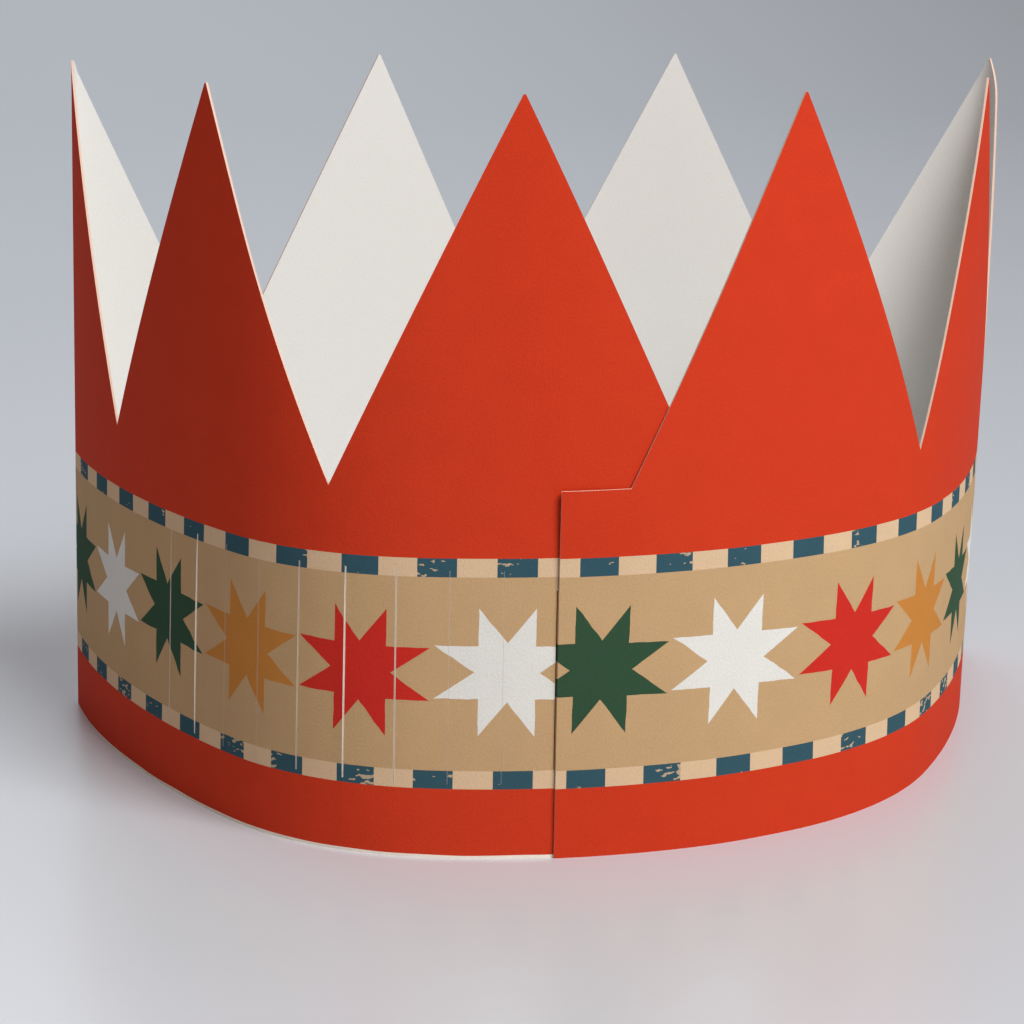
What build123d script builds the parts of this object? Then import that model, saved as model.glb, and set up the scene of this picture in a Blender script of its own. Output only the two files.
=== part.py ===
from build123d import *
import os
from math import ceil, cos, degrees, floor, pi, sin

# A paper crown cut from one strip of printed card, in millimetres.
# Lengths along the strip run from the flap's end, to the right, round the back and on
# to the inner end, which lies under the flap. Seen from above that is anticlockwise.
# X is to the right, the front with the seam faces -Y, and the foot stands on Z = 0.

# The card, and how far a lap or a tab keeps off the card beside it
card_thickness = 0.45
lap_gap = 0.15

# The row of points, with the level shoulder that leads the flap
point_count = 8
point_pitch = 72.1
total_height = 140.0
valley_height = 69.6
tip_width = 0.4
shoulder_length = 13.3

# The closure: a tab on the flap's end goes in through the first of a row of slits
lap_length = 28.2
slit_count = 10
slit_pitch = 10.0
slit_width = 0.3
slit_height = 40.5
slit_foot = 14.3
tab_height = 34.2
tab_foot = 16.8
tab_length = 9.0

# How far a cutter reaches past the card that it cuts
cut_overrun = 3.0

# How the closed strip stands, as runs of even bend from the seam round to the seam:
# share of the way round, share of the full turn. The two sharp ones are the creases
# that it was once folded flat at.
run_shares = [
    (0.076, 0.049),
    (0.095, 0.107),
    (0.093, 0.039),
    (0.072, 0.020),
    (0.014, 0.198),
    (0.053, 0.071),
    (0.095, 0.003),
    (0.072, 0.060),
    (0.156, 0.034),
    (0.005, 0.194),
    (0.149, 0.068),
    (0.077, 0.120),
    (0.043, 0.037),
]
seam_turn_share = -0.018

# How far each point's tip stands off its place over the foot, as shares of the total
# height, in the order of the strip: outward by a lean of the wall, and along the strip.
# Every line up the wall is straight, so the card only bends one way.
lean_shares = [-0.035, 0.005, 0.045, 0.005, -0.025, -0.02, -0.005, -0.025]
slide_shares = [0.00, -0.015, 0.005, -0.02, -0.02, 0.015, 0.05, 0.005]

strip_length = shoulder_length + point_count * point_pitch
round_length = strip_length - lap_length
first_tip = shoulder_length + point_pitch / 2
last_tip = first_tip + (point_count - 1) * point_pitch
lap_lift = card_thickness + lap_gap
lap_end = lap_length + card_thickness
bend_limit_share = 0.03
stations_per_run = 4
stations_per_slope = 4


def walk(length):
    """Place and heading that far along the bare outline, by a walk over its runs."""
    x, y, heading = 0.0, 0.0, seam_turn_share * 2 * pi
    for length_share, turn_share in run_shares:
        run = length_share * round_length
        part = min(max(length, 0.0), run) / run
        turn = turn_share * 2 * pi * part
        chord = run * part * (sin(turn / 2) / (turn / 2) if turn else 1)
        x += chord * cos(heading + turn / 2)
        y += chord * sin(heading + turn / 2)
        heading += turn
        length -= run
    return x, y, heading


end_x, end_y, _ = walk(round_length)


def outline_place(length):
    """Place and heading on the outline, whose small end gap is shared out along it."""
    length = length % round_length
    x, y, heading = walk(length)
    share = length / round_length
    return x - share * end_x, y - share * end_y, heading


def eased(share):
    """Smooth step from 0 to 1."""
    share = min(max(share, 0.0), 1.0)
    return (1 - cos(pi * share)) / 2


def tip_stand(index, rise_share):
    """How far the wall at one point's tip stands off its place over the foot."""
    index = index % point_count
    _, _, heading = outline_place(first_tip + index * point_pitch)
    reach = total_height * rise_share * lean_shares[index]
    slide = total_height * rise_share * slide_shares[index]
    x = reach * sin(heading) + slide * cos(heading)
    y = slide * sin(heading) - reach * cos(heading)
    return Vector(x, y, 0)


def between_tips(length):
    """Index of the tip before that length, and the share of the way to the next tip."""
    around = length % round_length
    if around < first_tip:
        around += round_length
    if around > last_tip:
        return point_count - 1, (around - last_tip) / (first_tip + round_length - last_tip)
    place = (around - first_tip) / point_pitch
    return floor(place), place - floor(place)


def wall_place(length, height, out):
    """Point of the wall at a length and height, that far out from its inner face."""
    x, y, heading = outline_place(length)
    foot = Vector(x + out * sin(heading), y - out * cos(heading), height)
    index, share = between_tips(length)
    here = tip_stand(index, height / total_height)
    there = tip_stand(index + 1, height / total_height)
    return foot + here + (there - here) * eased(share)


def stretch_marks(start, end):
    """Start and end, with the lengths between them where a new surface begins."""
    marks = [lap_end]
    for lap in (0, 1):
        reached = lap * round_length
        for length_share, turn_share in run_shares:
            count = ceil(turn_share / bend_limit_share)
            step = length_share * round_length / count
            marks += [reached + step * i for i in range(1, count + 1)]
            reached += step * count
    inside = [mark for mark in sorted(marks) if start + slit_width < mark < end - slit_width]
    return [start] + inside + [end]


def spans(start, end, count):
    """Count + 1 evenly spaced values from start to end."""
    return [start + (end - start) * i / count for i in range(count + 1)]


def card_line(start, end, height, out):
    """Smooth line along the card between two lengths, at a height and a way out."""
    lengths = spans(start, end, stations_per_run - 1)
    points = [wall_place(length, height, out(length)) for length in lengths]
    step = (end - start) / stations_per_run ** 2
    tangents = []
    for length in (start, end):
        before = wall_place(length - step, height, out(length - step))
        after = wall_place(length + step, height, out(length + step))
        tangents.append((after - before).normalized())
    return Edge.make_spline(points, tangents=tangents, parameters=lengths)


def card_outline(marks, height, lift):
    """Closed outline of a stretch of card at one height."""
    inner = lift
    outer = lambda length: lift(length) + card_thickness
    pairs = list(zip(marks, marks[1:]))
    edges = [card_line(a, b, height, side) for side in (outer, inner) for a, b in pairs]
    for length in (marks[0], marks[-1]):
        ends = [wall_place(length, height, side(length)) for side in (inner, outer)]
        edges.append(Edge.make_line(*ends))
    return Wire(edges)


def card_stretch(start, end, lift):
    """Uncut card of full height between two lengths, lifted off the outline."""
    marks = stretch_marks(start, end)
    foot = card_outline(marks, 0.0, lift)
    top = card_outline(marks, total_height, lift)
    return Solid.make_loft([foot, top], ruled=True)


def no_lift(length):
    """The card's inner face lies on the outline."""
    return 0.0


def flap_lift(length):
    """The flap lies over the inner end, then eases back to the outline at its first tip."""
    return lap_lift * (1 - eased((length - lap_end) / (first_tip - lap_end)))


def slope_cutter(corners):
    """What lies above a line on the card, given by its corners: length, height."""
    top = total_height + 2 * cut_overrun
    stations = []
    for (start, low), (end, high) in zip(corners, corners[1:]):
        lengths = spans(start, end, stations_per_slope)
        heights = spans(low, high, stations_per_slope)
        stations += list(zip(lengths, heights))[: stations_per_slope]
    stations.append(corners[-1])
    reach = cut_overrun + card_thickness
    sections = []
    for length, height in stations:
        low_in = wall_place(length, height, -cut_overrun)
        low_out = wall_place(length, height, reach)
        top_out = wall_place(length, top, reach)
        top_in = wall_place(length, top, -cut_overrun)
        sections.append(Wire.make_polygon([low_in, low_out, top_out, top_in]))
    return Solid.make_loft(sections, ruled=True)


def valley_cutter(index):
    """The notch before the point of that index, run on past the tips beside it."""
    valley = shoulder_length + index * point_pitch
    half = (point_pitch - tip_width) / 2
    rise = total_height - valley_height
    run_on = half * cut_overrun / rise
    top = total_height + cut_overrun
    left = (valley - half - run_on, top)
    right = (valley + half + run_on, top)
    if index == 0:
        left = (-cut_overrun, valley_height)
        return slope_cutter([left, (valley, valley_height), right])
    if index == point_count:
        right = (valley + cut_overrun, valley_height)
    return slope_cutter([left, (valley, valley_height), right])


def through_box(middle, width, foot, height):
    """Box that cuts through the card at a length, square to it."""
    _, _, heading = outline_place(middle)
    box = Box(width, 2 * cut_overrun, height)
    place = wall_place(middle, foot + height / 2, card_thickness / 2)
    return Location(place, (0, 0, degrees(heading))) * box


def slits():
    """The row of slits for the sizes, and the first one held open by the tab."""
    first = round_length - lap_lift
    middles = [first] + [round_length - i * slit_pitch for i in range(1, slit_count)]
    cuts = [through_box(middle, slit_width, slit_foot, slit_height) for middle in middles]
    open_foot = tab_foot - lap_gap
    open_height = tab_height + 2 * lap_gap
    cuts.append(through_box(first, 2 * lap_lift, open_foot, open_height))
    return cuts


def tab():
    """The tab, which dives in through its slit and lies against the inner face."""
    dive = 2 * lap_lift
    corner = card_thickness * (2 ** 0.5 - 1)
    rest = spans(dive, tab_length, stations_per_run - 1)
    outer = [(0.0, lap_lift + card_thickness)] + [(length, -lap_gap) for length in rest]
    inner = [(length, -lap_lift) for length in rest[1:]]
    inner = [(0.0, lap_lift), (dive - corner, -lap_lift)] + inner
    outline = outer + inner[::-1]
    sections = []
    for height in (tab_foot, tab_foot + tab_height):
        points = [wall_place(-length, height, out) for length, out in outline]
        sections.append(Wire.make_polygon(points))
    return Solid.make_loft(sections)


def crown():
    """The closed crown, with its middle over the origin."""
    flap = card_stretch(0.0, first_tip, flap_lift) - valley_cutter(0)
    wall = card_stretch(first_tip, strip_length, no_lift)
    wall -= [valley_cutter(index) for index in range(1, point_count + 1)]
    wall -= slits()
    whole = flap + wall + tab()
    middle = whole.bounding_box().center()
    return Location((-middle.X, -middle.Y, 0)) * whole


os.makedirs("parts", exist_ok=True)
export_step(crown(), "parts/crown_strip.step")
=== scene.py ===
from math import pi
import bpy
import numpy as np
from mathutils import Euler, Matrix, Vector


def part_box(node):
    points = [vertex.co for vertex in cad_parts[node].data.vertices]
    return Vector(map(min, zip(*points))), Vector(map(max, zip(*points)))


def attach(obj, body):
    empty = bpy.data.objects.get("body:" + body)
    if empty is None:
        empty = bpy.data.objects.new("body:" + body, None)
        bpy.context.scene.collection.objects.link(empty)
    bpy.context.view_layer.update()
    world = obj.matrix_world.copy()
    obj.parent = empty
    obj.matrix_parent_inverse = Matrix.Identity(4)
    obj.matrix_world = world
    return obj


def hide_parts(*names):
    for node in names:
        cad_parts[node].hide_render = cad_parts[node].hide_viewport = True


# Looks of a paper crown: one strip of printed card, with its tab through a slit.
# Lengths and heights on the strip are in millimetres, as they are in the source.
# Lengths run from the flap's end, to the right, round the back and on to the inner end.

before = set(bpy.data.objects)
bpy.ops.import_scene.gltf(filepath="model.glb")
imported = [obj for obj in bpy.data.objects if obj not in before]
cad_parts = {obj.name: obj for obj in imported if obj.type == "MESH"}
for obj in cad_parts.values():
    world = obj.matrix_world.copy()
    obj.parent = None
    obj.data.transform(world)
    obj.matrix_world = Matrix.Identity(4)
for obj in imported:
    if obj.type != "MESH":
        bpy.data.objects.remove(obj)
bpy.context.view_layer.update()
metre = 0.001

# The card and its closure. The slits are counted from the seam to the left. Each is a
# little apart from the next: its gap, how pale its edges are painted, partly as wear and
# partly as painted highlight where the lit cut edge shows, and how far its free lip
# springs out.
card_thickness = 0.45
lap_gap = 0.15
point_count = 8
point_pitch = 72.1
total_height = 140.0
valley_height = 69.6
tip_width = 0.4
shoulder_length = 13.3
lap_length = 28.2
slit_count = 10
slit_pitch = 10.0
slit_gaps = np.array([0.10, 0.04, 0.05, 0.12, 0.15, 0.12, 0.06, 0.06, 0.15, 0.12])
# Pale scuff strength per slit: partly wear, partly painted highlight, fainter where a
# slit lies in shade
slit_wear_and_highlight_levels = [0.05, 0.05, 0.05, 0.6, 0.95, 0.6, 0.2, 0.2, 0.95, 0.55]
slit_foot = 14.3
slit_height = 40.5
lip_reach = 2.5
lip_rises = [0.0, 0.0, 0.08, 0.2, 0.1, 0.03, 0.03, 0.25, 0.08]
corner_spring = 0.6
corner_reach = 26.0
tab_foot = 16.8
tab_height = 34.2
tab_length = 9.0
dive_length = 0.3
slot_start = 0.35
first_slit_start = 0.2

# How it stands: runs of even bend, share of the way round and share of the full turn
run_shares = [
    (0.076, 0.049), (0.095, 0.107), (0.093, 0.039), (0.072, 0.020), (0.014, 0.198),
    (0.053, 0.071), (0.095, 0.003), (0.072, 0.060), (0.156, 0.034), (0.005, 0.194),
    (0.149, 0.068), (0.077, 0.120), (0.043, 0.037),
]
seam_turn_share = -0.018
lean_shares = np.array([-0.035, 0.005, 0.045, 0.005, -0.025, -0.02, -0.005, -0.025])
slide_shares = np.array([0.00, -0.015, 0.005, -0.02, -0.02, 0.015, 0.05, 0.005])
creased_points = (2, 5)
crease_reach = 5.0

strip_length = shoulder_length + point_count * point_pitch
round_length = strip_length - lap_length
first_tip = shoulder_length + point_pitch / 2
last_tip = first_tip + (point_count - 1) * point_pitch
lap_lift = card_thickness + lap_gap
tips = first_tip + point_pitch * np.arange(point_count)
slit_places = round_length - slit_pitch * np.arange(slit_count)
slit_places[0] = round_length - first_slit_start

# The print, on the strip
band_foot = 13.45
band_top = 57.07
check_height = 3.5
top_check_length = 7.389
top_check_start = 3.8
foot_check_length = 7.41
foot_check_start = 2.0
star_start = 8.2
star_pitch = 27.2
star_height = 35.5
star_colours = "GWROGWROGWROGWRGWGORW"

# How each star stands off its even place: along, up, and lean. None is quite the same,
# and those at the back are a guess.
star_places = [
    (0, 0.4, 0.02), (0, 0.3, 0.04), (1.5, -0.3, 0.06), (0.7, -0.5, 0.06),
    (2, -0.8, -0.02), (2, -0.5, 0.03), (1, 0, -0.04), (0, 0.4, 0.02), (-0.5, 0, 0.05),
    (0, -0.4, -0.03), (0.5, 0, 0.02), (0, 0.3, -0.05), (-0.5, 0, 0.04), (0, -0.3, 0),
    (0.8, 0, -0.03), (1.5, 0.4, 0.03), (2.4, 0.6, 0), (0, 1.3, -0.02), (1, 0.5, 0),
    (-0.2, -0.2, 0), (0.5, 0.2, 0),
]
star_tilt = -0.02
star_place_spans = np.array([10, 10, 0.5])

# A star is two pairs of arms, crossed: half the width of a pair, half its length at the
# notch between the arms, and how much longer it gets for each step away from the notch
upright_half, upright_notch, upright_slope = 5.2, 5.6, 1.25
level_half, level_notch, level_slope = 5.0, 6.0, 1.44
star_wobble = 0.35

# Wear and painted light: specks in the checks, pale scuffs on both sides of a slit that
# are partly wear and partly painted highlight of the lit cut edge, and a pale foot line
# that is painted light showing under the lifted foot
speck_limit = 0.70
speck_strength = 0.7
speck_drift = 0.7
scuff_and_highlight_half_width = 0.15
row_margin = 1.0
# The pale foot line is painted light that shows under the lifted foot
foot_light_start = 425.0
foot_light_run = 50.0
foot_light_height = 0.45
foot_light_range = 0.3

# Surface: the sharpest bend, in radians, that still looks smooth, the card's gloss, and
# bumps in metres
sharp_angle = 0.7
card_gloss = 0.06
ink_bump = 0.00006
bare_bump = 0.00003


def smooth_step(share):
    """Half a cosine wave, from 0 at share 0 to 1 at share 1, and level beyond."""
    return (1 - np.cos(pi * np.clip(share, 0, 1))) / 2


def walk(length):
    """Place and heading along the bare outline. Each run of even bend adds its chord,
    run * sin(turn / 2) / (turn / 2), along the heading at the middle of its arc."""
    x, y, heading, reached = 0.0, 0.0, seam_turn_share * 2 * pi, 0.0
    for length_share, turn_share in run_shares:
        run = length_share * round_length
        part = np.clip((length - reached) / run, 0, 1)
        turn = turn_share * 2 * pi * part
        chord = run * part * np.sinc(turn / (2 * pi))
        x = x + chord * np.cos(heading + turn / 2)
        y = y + chord * np.sin(heading + turn / 2)
        heading = heading + turn
        reached += run
    return x, y, heading


end_x, end_y, _ = walk(round_length)


def outline(length):
    """Place and heading round the closed outline: the walk, less its small end gap
    times the share of the way round."""
    length = length % round_length
    x, y, heading = walk(length)
    share = length / round_length
    return x - share * end_x, y - share * end_y, heading


tip_headings = outline(tips)[2]
tip_stands = total_height * np.stack([
    lean_shares * np.sin(tip_headings) + slide_shares * np.cos(tip_headings),
    slide_shares * np.sin(tip_headings) - lean_shares * np.cos(tip_headings)], axis=1)


def wall(length, height, out):
    """Points of the wall: the outline's place, plus out along its outward normal
    (sin, -cos of the heading), plus height / total height times the stand of the two
    tips beside it, blended by the smooth step. So every line up the wall is straight."""
    x, y, heading = outline(length)
    around = length % round_length
    around = np.where(around < first_tip, around + round_length, around)
    before = np.clip(np.floor((around - first_tip) / point_pitch), 0, point_count - 1)
    before = before.astype(int)
    last_gap = first_tip + round_length - last_tip
    gap = np.where(before == point_count - 1, last_gap, point_pitch)
    share = smooth_step((around - tips[before]) / gap)[..., None]
    after = (before + 1) % point_count
    stand = tip_stands[before] * (1 - share) + tip_stands[after] * share
    rise = (height / total_height)[..., None]
    flat = np.stack([x + out * np.sin(heading), y - out * np.cos(heading)], axis=-1)
    return np.concatenate([flat + rise * stand, height[..., None]], axis=-1)


def card_lift(length, height):
    """How far the card's inner face stands off the outline. The flap lies a card and a
    gap out and eases back by its first tip, and its free corner springs out a little
    more above the tab. The tab dives in by twice that gap over its slit. One lip of each
    slit springs out, most at the middle of its height."""
    flap_end = lap_length + card_thickness
    lift = lap_lift * (1 - smooth_step((length - flap_end) / (first_tip - flap_end)))
    tab_top = tab_foot + tab_height
    free = smooth_step((height - tab_top) / (valley_height - tab_top))
    lift = lift + corner_spring * (1 - smooth_step(length / corner_reach)) * free
    lift = np.where(length > first_tip, 0, lift)
    dive = lap_lift * (1 - 2 * smooth_step(-length / dive_length))
    lift = np.where(length < 0, dive, lift)
    along = np.clip((height - slit_foot) / slit_height, 0, 1)
    for place, rise in zip(slit_places[1:], lip_rises):
        lip = np.clip(1 - (place - length) / lip_reach, 0, 1) * (length < place)
        lift = lift + rise * lip ** 2 * np.sin(pi * along) ** 0.5
    return lift


def patch(across, up, place):
    """Grid of quads. Columns are the shares across, rows the values up, and place gives
    length and height for both. Returns the cells' four corners, as length and height."""
    a, b = np.meshgrid(across, up)
    length, height = place(a, b)
    grid = np.stack([length, height], axis=-1)
    cells = [grid[:-1, :-1], grid[:-1, 1:], grid[1:, 1:], grid[1:, :-1]]
    return np.stack(cells, axis=2).reshape(-1, 4, 2)


def point_columns(index):
    """Shares across one point: even ones, closer ones where the card is creased, and
    the two edges of each slit."""
    start = shoulder_length + index * point_pitch
    places = [np.linspace(0, point_pitch, 37)]
    if index in creased_points:
        places.append(point_pitch / 2 + np.linspace(-crease_reach, crease_reach, 41))
    for side in (-0.5, 0.5):
        places.append(slit_places + side * slit_gaps - start)
    places.append([round_length - slot_start - start, round_length - start])
    places = np.unique(np.concatenate(places).round(4))
    inside = (places >= 0) & (places <= point_pitch)
    return places[inside] / point_pitch


def in_cuts(cells):
    """Which cells lie in a slit, or in the open slot that the tab goes in through."""
    length, height = cells.mean(axis=1).T
    along = (height > slit_foot) & (height < slit_foot + slit_height)
    inside = np.zeros(len(cells), bool)
    for place, gap in zip(slit_places, slit_gaps):
        inside |= (np.abs(length - place) < gap / 2) & along
    slot = (length > round_length - slot_start) & (length < round_length)
    slot &= (height > tab_foot - lap_gap) & (height < tab_foot + tab_height + lap_gap)
    return inside | slot


def strip_cells():
    """All cells of the flat strip: the shoulder, the band under the points, the points,
    whose columns close in on the tip, and the tab. Those in a cut are left out."""
    slit_top = slit_foot + slit_height
    tab_top = tab_foot + tab_height
    rows = [np.linspace(0, valley_height, 30), [slit_foot, slit_top, tab_foot, tab_top]]
    rows.append([tab_foot - lap_gap, tab_top + lap_gap])
    rows = np.unique(np.concatenate(rows).round(4))
    rise = total_height - valley_height
    cells = [patch(np.linspace(0, shoulder_length, 9), rows, lambda a, b: (a, b))]
    for index in range(point_count):
        start = shoulder_length + index * point_pitch
        across = point_columns(index)
        low = lambda a, b: (start + a * point_pitch, b)
        width = lambda b: (1 - b) * point_pitch + b * tip_width
        high = lambda a, b: (tips[index] + (a - 0.5) * width(b), valley_height + b * rise)
        cells.append(patch(across, rows, low))
        cells.append(patch(across, np.linspace(0, 1, 31), high))
    tab_rows = rows[(rows >= tab_foot) & (rows <= tab_top)]
    tab_places = np.concatenate([np.linspace(-tab_length, -dive_length, 7)[:-1],
                                 np.linspace(-dive_length, 0, 9)])
    cells.append(patch(tab_places, tab_rows, lambda a, b: (a, b)))
    cells = np.concatenate(cells)
    return cells[~in_cuts(cells)]


def make_card(name):
    """The whole strip: its cells as an outer face, the same cells turned round as an
    inner face a card's thickness in, and a quad over each edge that only one cell has."""
    cells = strip_cells()
    flat, corner = np.unique(cells.reshape(-1, 2).round(6), axis=0, return_inverse=True)
    quads = corner.reshape(-1, 4)
    count = len(flat)
    lift = card_lift(flat[:, 0], flat[:, 1])
    outer = wall(flat[:, 0], flat[:, 1], lift + card_thickness)
    inner = wall(flat[:, 0], flat[:, 1], lift)
    points = np.concatenate([outer, inner])
    sides = np.stack([quads, np.roll(quads, -1, axis=1)], axis=2).reshape(-1, 2)
    keys = np.sort(sides, axis=1)
    _, first, uses = np.unique(keys, axis=0, return_index=True, return_counts=True)
    rim = sides[first[uses == 1]]
    rims = np.stack([rim[:, 1], rim[:, 0], rim[:, 0] + count, rim[:, 1] + count], axis=1)
    faces = np.concatenate([quads, quads[:, ::-1] + count, rims])
    slots = np.repeat([0, 1, 2], [len(quads), len(quads), len(rims)])
    low, high = (np.array(corner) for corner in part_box("crown_strip"))
    points = points * metre
    points[:, :2] += (low + high)[:2] / 2 - (points.min(0) + points.max(0))[:2] / 2
    mesh = bpy.data.meshes.new(name)
    mesh.from_pydata(points.tolist(), [], faces.tolist())
    mesh.polygons.foreach_set("material_index", slots)
    mesh.polygons.foreach_set("use_smooth", np.ones(len(faces), bool))
    places = np.concatenate([flat, np.zeros((count, 1))], axis=1)
    attribute = mesh.attributes.new("strip_place", "FLOAT_VECTOR", "POINT")
    attribute.data.foreach_set("vector", np.tile(places, (2, 1)).ravel())
    mesh.set_sharp_from_angle(angle=sharp_angle)
    card = bpy.data.objects.new(name, mesh)
    bpy.context.scene.collection.objects.link(card)
    return card


def colour(red, green, blue):
    """Linear colour of one that is written as on a screen, 0 to 255: each share v is
    v / 12.92 up to 0.04, and ((v + 0.055) / 1.055) to the power 2.4 above."""
    shares = np.array([red, green, blue]) / 255
    linear = np.where(shares <= 0.04, shares / 12.92, ((shares + 0.055) / 1.055) ** 2.4)
    return (*linear.tolist(), 1.0)


class Value:
    """One number or colour that varies over a surface. A sign between two of them, or
    between one and a plain number, adds the Math node of its name."""

    def __init__(self, finish, socket):
        self.finish, self.socket = finish, socket

    def sign(self, operation, *values):
        inputs = dict(enumerate(values))
        return self.finish.add("Math", {"operation": operation}, inputs)

    def __add__(self, other):
        return self.sign("ADD", self, other)

    def __sub__(self, other):
        return self.sign("SUBTRACT", self, other)

    def __rsub__(self, other):
        return self.sign("SUBTRACT", other, self)

    def __mul__(self, other):
        return self.sign("MULTIPLY", self, other)

    def __truediv__(self, other):
        return self.sign("DIVIDE", self, other)

    def __lt__(self, other):
        return self.sign("LESS_THAN", self, other)

    def __gt__(self, other):
        return self.sign("GREATER_THAN", self, other)

    def __and__(self, other):
        return self.sign("MINIMUM", self, other)

    def __or__(self, other):
        return self.sign("MAXIMUM", self, other)

    def __abs__(self):
        return self.sign("ABSOLUTE", self)

    def floor(self):
        return self.sign("FLOOR", self)

    def part(self):
        return self.sign("FRACT", self)

    __radd__ = __add__
    __rmul__ = __mul__


class Finish:
    """The node tree of one material, or of the sky."""

    def __init__(self, name, sky=False):
        self.block = (bpy.data.worlds if sky else bpy.data.materials).new(name)
        self.block.use_nodes = True
        self.nodes = self.block.node_tree.nodes
        self.links = self.block.node_tree.links
        self.nodes.clear()

    def add(self, kind, settings=None, inputs=None, output=0):
        """A node of that kind, its settings first, then its sockets' values or links."""
        node = self.nodes.new("ShaderNode" + kind)
        for name, value in (settings or {}).items():
            if name == "stops":
                self.set_stops(node.color_ramp, *value)
            else:
                setattr(node, name, value)
        for name, value in (inputs or {}).items():
            if isinstance(value, Value):
                self.links.new(value.socket, node.inputs[name])
            else:
                node.inputs[name].default_value = value
        return Value(self, node.outputs[output]) if node.outputs else None

    def set_stops(self, ramp, kind, stops):
        """Puts the stops, each a place and a colour, on a ramp of that kind."""
        ramp.interpolation = kind
        ramp.elements.remove(ramp.elements[1])
        for place, _ in stops[1:]:
            ramp.elements.new(place)
        for element, (place, shade) in zip(ramp.elements, stops):
            element.position, element.color = place, shade

    def mix(self, share, one, other):
        """Colour one where share is 0, the other where it is 1."""
        settings = {"data_type": "RGBA"}
        return self.add("Mix", settings, {0: share, 6: one, 7: other}, 2)

    def noise(self, place, scale, detail=2.0):
        """Smooth noise about 0.5, with that many waves to a unit of the place."""
        inputs = {"Vector": place, "Scale": scale, "Detail": detail}
        return self.add("TexNoise", {}, inputs)

    def steps(self, share, shades):
        """The colour of that share of the way along a row of even steps."""
        stops = [(i / len(shades), shade) for i, shade in enumerate(shades)]
        return self.add("ValToRGB", {"stops": ("CONSTANT", stops)}, {0: share})

    def blends(self, share, rows, spans):
        """Three values at that share of the way along a list, each blended evenly from
        one row to the next. A colour carries them, as 0.5 plus each value over its span,
        which is the widest range that it can have."""
        shades = [(*(0.5 + np.array(row) / spans), 1) for row in rows]
        stops = [((i + 0.5) / len(rows), shade) for i, shade in enumerate(shades)]
        held = self.add("ValToRGB", {"stops": ("LINEAR", stops)}, {0: share})
        parts = [self.add("SeparateColor", {}, {0: held}, i) for i in range(3)]
        return [(part - 0.5) * span for part, span in zip(parts, spans)]

    def scaled(self, shade, factor):
        """A colour times a number that varies."""
        if not isinstance(shade, Value):
            shade = shade[:3]
        return self.add("VectorMath", {"operation": "SCALE"}, {0: shade, "Scale": factor})

    def surface(self, base, roughness, height, depth):
        """The card's matte surface, with a bump of that depth in metres."""
        bump = {"Strength": 1.0, "Distance": depth, "Height": height}
        normal = self.add("Bump", {}, bump)
        inputs = {"Base Color": base, "Roughness": roughness, "Normal": normal,
                  "Specular IOR Level": card_gloss}
        shader = self.add("BsdfPrincipled", {}, inputs)
        self.add("OutputMaterial", {}, {"Surface": shader})
        return self.block


# The inks, then the bare card: its face, its cut edge, its pale core, shown at worn edges
# and used as painted highlight at the slits and painted light at the foot, and a painted
# shade for the edge of a slit that is shut
red_ink = colour(203, 60, 34)
band_ink = colour(194, 161, 120)
cream_ink = colour(217, 188, 154)
navy_ink = colour(54, 87, 99)
star_inks = {"G": colour(52, 81, 60), "W": colour(226, 226, 221),
             "R": colour(201, 48, 39), "O": colour(196, 131, 62)}
bare_card = colour(228, 227, 224)
cut_card = colour(230, 198, 180)
core_card = colour(242, 234, 222)
# Painted shade: the dark edge of a shut slit, where the narrow gap is in shade
painted_slit_edge_shade = colour(150, 118, 84)


def strip_place(finish):
    """Length and height on the strip, and both as one vector."""
    place = finish.add("Attribute", {"attribute_name": "strip_place"}, {}, 1)
    length = finish.add("SeparateXYZ", {}, {0: place}, 0)
    height = finish.add("SeparateXYZ", {}, {0: place}, 1)
    return place, length, height


def slit_wear_and_highlight(finish, length):
    """How pale the paper is painted at the slit nearest to a length: partly wear, partly
    a painted highlight of the lit cut edge, fainter where the slit lies in shade.
    """
    number = (round_length - length) / slit_pitch + 0.5
    shades = [(mark, mark, mark, 1) for mark in slit_wear_and_highlight_levels]
    return finish.steps((number.floor() + 0.5) / slit_count, shades)


def stars(ink, place, length, height):
    """Where a star is printed, and its colour. A star lies alike on both sides of its
    middle and above and below it, so the distances from the middle draw all of it."""
    wobble = (ink.noise(place, 0.3, 1.0) - 0.5) * star_wobble
    even_share = ((length - star_start) / star_pitch + 0.5) / len(star_colours)
    shift, rise, lean = ink.blends(even_share, star_places, star_place_spans)
    star = (length - shift - star_start) / star_pitch + 0.5
    x = (star.part() - 0.5) * star_pitch + wobble
    z = height - rise - star_height + wobble
    x, z = x - lean * z, z - star_tilt * x
    x, z = abs(x), abs(z)
    upright = (x < upright_half) & (z < upright_notch + upright_slope * x)
    level = (z < level_half) & (x < level_notch + level_slope * z)
    share = (star.floor() + 0.5) / len(star_colours)
    return upright | level, ink.steps(share, [star_inks[key] for key in star_colours])


def checks(ink, place, length, height):
    """Where the two rows of checks run, where their dark blocks lie, and the blocks'
    colour, with specks worn paler."""
    top_row = (height > band_top - check_height) & (height < band_top)
    foot_row = (height < band_foot + check_height) & (height > band_foot)
    top_blocks = ((length - top_check_start) / (2 * top_check_length)).part() < 0.5
    foot_blocks = ((length - foot_check_start) / (2 * foot_check_length)).part() < 0.5
    blocks = (top_row & top_blocks) | (foot_row & foot_blocks)
    grain = ink.add("Mapping", {}, {"Vector": place, "Scale": (0.55, 1.1, 1.0)})
    worn = ink.noise(grain, 1.0, 2.0) + speck_drift * (ink.noise(place, 0.09, 0.0) - 0.5)
    navy = ink.mix((worn > speck_limit) * speck_strength, navy_ink, cream_ink)
    return top_row | foot_row, blocks, navy


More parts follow.
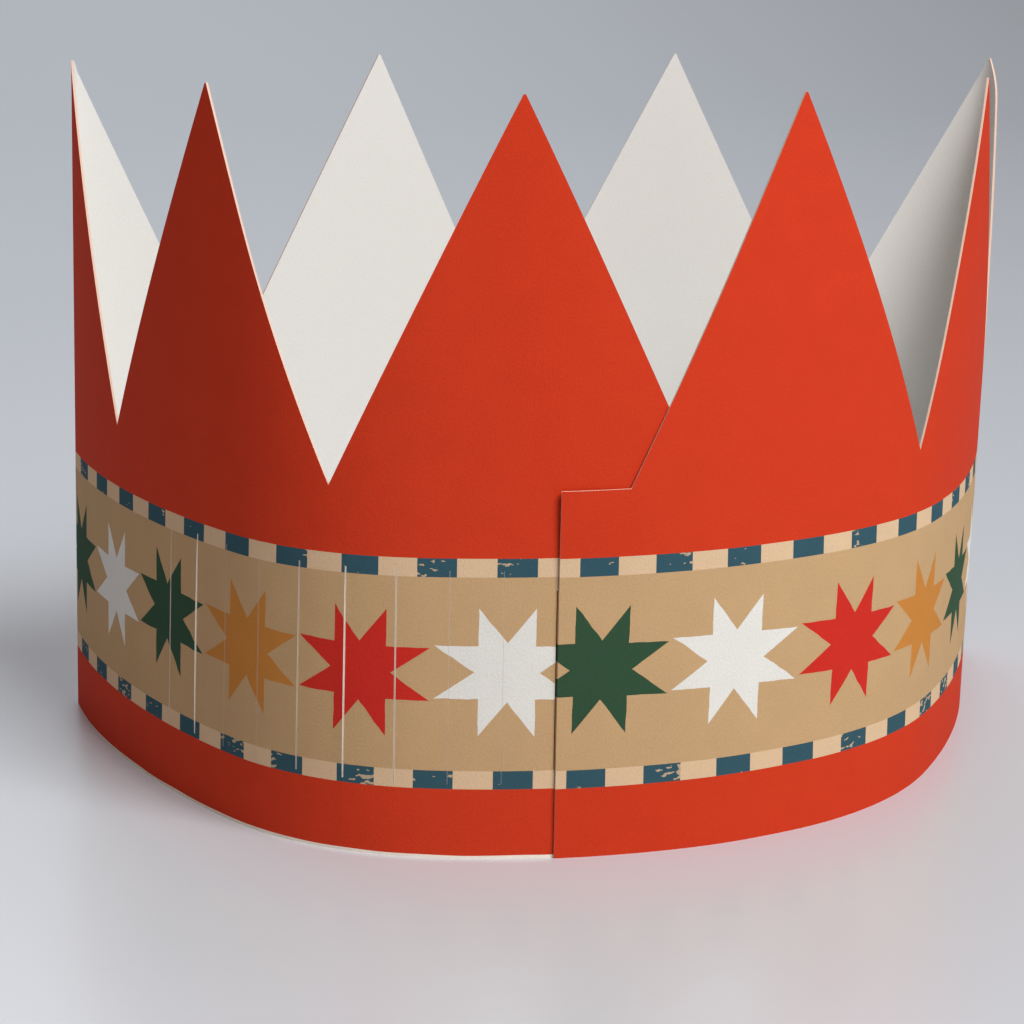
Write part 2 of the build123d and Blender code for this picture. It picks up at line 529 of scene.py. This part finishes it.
def wear_and_painted_light(ink, place, length, height):
    """Where the card's pale core is painted: on both sides of each slit, partly wear and
    partly painted highlight of the lit cut edge, and in a thin line at the foot, painted
    light that shows under the lifted foot, which grows from nothing on the left as it
    nears the seam."""
    along = (height > slit_foot) & (height < slit_foot + slit_height)
    beside = abs(((round_length - length) / slit_pitch + 0.5).part() - 0.5) * slit_pitch
    row_start, row_end = slit_places[-1] - row_margin, round_length - row_margin
    in_row = (length > row_start) & (length < row_end)
    scuff_and_highlight = ((beside < scuff_and_highlight_half_width) & along & in_row) * slit_wear_and_highlight(ink, length)
    foot_light_limit = foot_light_height + foot_light_range * ink.noise(place, 0.1, 0.0)
    foot_light_limit = foot_light_limit & ((length - foot_light_start) / foot_light_run)
    return scuff_and_highlight | (height < foot_light_limit)


def printed_card():
    """The outside: red, with a band of stars between two rows of checks."""
    ink = Finish("printed red card")
    place, length, height = strip_place(ink)
    fibre = ink.noise(place, 2.2, 4.0)
    cloud = ink.noise(place, 0.12, 3.0)
    star, star_ink = stars(ink, place, length, height)
    row, blocks, block_ink = checks(ink, place, length, height)
    band = (height > band_foot) & (height < band_top)

    base = ink.mix(star, band_ink, star_ink)
    base = ink.mix(row, base, cream_ink)
    base = ink.mix(blocks, base, block_ink)
    base = ink.mix(band, red_ink, base)
    # Pale core painted at the slits (partly wear, partly painted highlight) and at the
    # foot (painted light)
    base = ink.mix(wear_and_painted_light(ink, place, length, height), base, core_card)
    shade = 0.9 + 0.2 * fibre + 0.1 * (cloud - 0.5)
    roughness = 0.62 + 0.2 * fibre
    return ink.surface(ink.scaled(base, shade), roughness, fibre, ink_bump)


def plain_card(name, shade, cut=False):
    """Unprinted card, with its fibres. Up to the band's top, a cut edge is painted pale
    where its slit's edge is lit and painted shade where the slit is shut.
    """
    bare = Finish(name)
    place, length, height = strip_place(bare)
    fibre = bare.noise(place, 2.6, 4.0)
    tone = 0.92 + 0.16 * fibre
    if cut:
        # At the band, a cut edge is painted pale where its slit is lit and painted shade
        # where it is shut
        at_band = bare.mix(slit_wear_and_highlight(bare, length), painted_slit_edge_shade, core_card)
        shade = bare.mix(height < band_top, shade, at_band)
    roughness = 0.8 + 0.1 * fibre
    return bare.surface(bare.scaled(shade, tone), roughness, fibre, bare_bump)


card = make_card("paper_crown")
card.data.materials.append(printed_card())
card.data.materials.append(plain_card("bare inside of the card", bare_card))
card.data.materials.append(plain_card("cut edge of the card", cut_card, cut=True))
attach(card, "root")
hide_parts("crown_strip")

# The floor, which sweeps up into the backdrop
sweep_half_width = 8.0
sweep_front = -8.0
sweep_back = 1.6
sweep_radius = 1.2
sweep_height = 3.0


def make_sweep(name):
    """Level floor, a quarter turn, then an upright backdrop: the profile at share t is
    carried along the width."""
    turn = np.linspace(0, pi / 2, 25)
    y = np.concatenate([[sweep_front], sweep_back + sweep_radius * np.sin(turn),
                        [sweep_back + sweep_radius]])
    z = np.concatenate([[0], sweep_radius * (1 - np.cos(turn)), [sweep_height]])
    x = np.linspace(-sweep_half_width, sweep_half_width, 9)
    points = np.stack([np.tile(x, len(y)), np.repeat(y, len(x)), np.repeat(z, len(x))], 1)
    ids = np.arange(len(points)).reshape(len(y), len(x))
    quads = np.stack([ids[:-1, :-1], ids[:-1, 1:], ids[1:, 1:], ids[1:, :-1]], 2)
    mesh = bpy.data.meshes.new(name)
    mesh.from_pydata(points.tolist(), [], quads.reshape(-1, 4).tolist())
    mesh.polygons.foreach_set("use_smooth", np.ones(len(mesh.polygons), bool))
    sweep = bpy.data.objects.new(name, mesh)
    bpy.context.scene.collection.objects.link(sweep)
    return sweep


sweep = make_sweep("sweep")
paper = Finish("pale floor")
paint = paper.add("BsdfPrincipled", {}, {"Base Color": colour(202, 208, 216),
                                         "Roughness": 0.28, "Specular IOR Level": 1.0})
paper.add("OutputMaterial", {}, {"Surface": paint})
sweep.data.materials.append(paper.block)

# Light: a broad soft lamp from the front right, a weak warm one from the left, one from
# behind for the backdrop, and a weak sky all round
sky_light = (0.16, 0.134, 0.116, 1)
sky_seen = (0.20, 0.205, 0.21, 1)
sky = Finish("studio", sky=True)
seen = [sky.add("LightPath", {}, {}, f"Is {kind} Ray") for kind in ("Camera", "Glossy")]
shade = sky.mix(seen[0] | seen[1], sky_light, sky_seen)
glow = sky.add("Background", {}, {"Color": shade})
sky.add("OutputWorld", {}, {"Surface": glow})
bpy.context.scene.world = sky.block


def add_lamp(name, place, aim, size, power, tint, glare=True):
    """A square lamp at a place, turned to face the aim. Without glare, nothing glossy
    mirrors it."""
    lamp = bpy.data.lights.new(name, "AREA")
    lamp.shape, lamp.size, lamp.energy, lamp.color = "SQUARE", size, power, tint
    holder = bpy.data.objects.new(name, lamp)
    bpy.context.scene.collection.objects.link(holder)
    way = np.array(aim) - np.array(place)
    tilt = pi / 2 + np.arctan2(way[2], np.hypot(way[0], way[1]))
    holder.rotation_euler = (tilt, 0, np.arctan2(-way[0], way[1]))
    holder.location = place
    holder.visible_glossy = glare


crown_middle = (0, 0, 0.07)
key_tint = (1.0, 0.98, 0.96)
fill_tint = (1.0, 0.45, 0.28)
back_tint = (0.93, 0.97, 1.0)
add_lamp("key lamp", (0.56, -1.06, 1.34), crown_middle, 0.9, 34.5, key_tint, glare=False)
add_lamp("fill lamp", (-1.6, -0.9, 0.2), crown_middle, 0.8, 1.5, fill_tint, glare=False)
add_lamp("back lamp", (0.0, 1.6, 1.6), (0, 0.9, 0.0), 1.8, 17, back_tint)

# The camera, at the photograph's place
camera_place = (-0.1547, -0.4885, 0.1689)
camera_down = 0.2322
camera_turn = -0.2691
camera_roll = 0.0141
camera_lens = 87.5
lens = bpy.data.cameras.new("camera")
lens.lens, lens.sensor_width, lens.sensor_fit = camera_lens, 36, "HORIZONTAL"
lens.clip_start = 0.01
camera = bpy.data.objects.new("camera", lens)
bpy.context.scene.collection.objects.link(camera)
aim = Euler((pi / 2 - camera_down, 0, camera_turn)).to_matrix()
aim = aim @ Matrix.Rotation(camera_roll, 3, "Z")
camera.matrix_world = Matrix.Translation(camera_place) @ aim.to_4x4()
bpy.context.scene.camera = camera

bpy.context.scene.view_settings.view_transform = "Standard"
